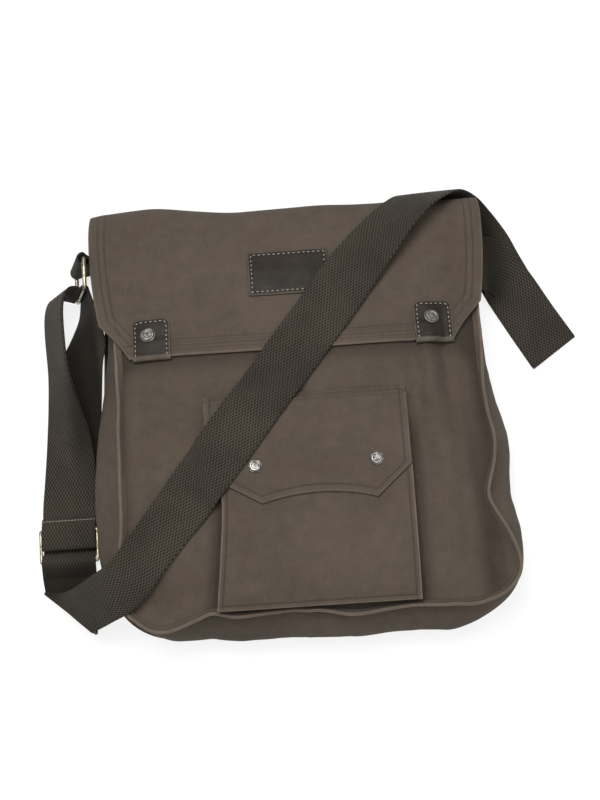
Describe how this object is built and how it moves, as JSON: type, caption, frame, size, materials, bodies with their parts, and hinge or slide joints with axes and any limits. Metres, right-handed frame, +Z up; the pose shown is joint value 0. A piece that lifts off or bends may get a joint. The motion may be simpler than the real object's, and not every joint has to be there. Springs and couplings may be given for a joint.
{
  "type": "canvas messenger bag",
  "caption": "Canvas shoulder bag with flap and front pocket, lying flat on its back with its webbing strap laid across the front.",
  "frame": {"origin": "on the surface that the bag lies on, under the middle of the back panel", "axes": "+X to the right as the bag lies front up, +Y towards the bag's mouth, +Z up, out of the front"},
  "size_m": [0.5262, 0.4237, 0.1008],
  "materials": {
    "canvas": "washed heavy cotton canvas, taupe brown, matt",
    "webbing": "woven cotton webbing, dark olive brown, matt",
    "leather": "dark brown split leather, satin",
    "antique_brass": "antique brass plate, satin",
    "nickel": "bright nickel plate"
  },
  "bodies": {
    "root": {"front_panel": "canvas", "back_panel": "canvas", "gusset": "canvas", "front_welt": "canvas", "back_welt": "canvas", "main_flap": "canvas", "pocket": "canvas", "pocket_flap": "canvas", "flap_tab_left": "leather", "flap_tab_right": "leather", "label_patch": "leather", "flap_stud_left": "nickel", "flap_stud_right": "nickel", "pocket_stud_left": "nickel", "pocket_stud_right": "nickel", "ring_left": "antique_brass", "ring_right": "antique_brass", "strap_slider": "antique_brass", "ring_loop_left": "webbing", "ring_loop_right": "webbing", "shoulder_strap": "webbing"}
  },
  "joints": []
}
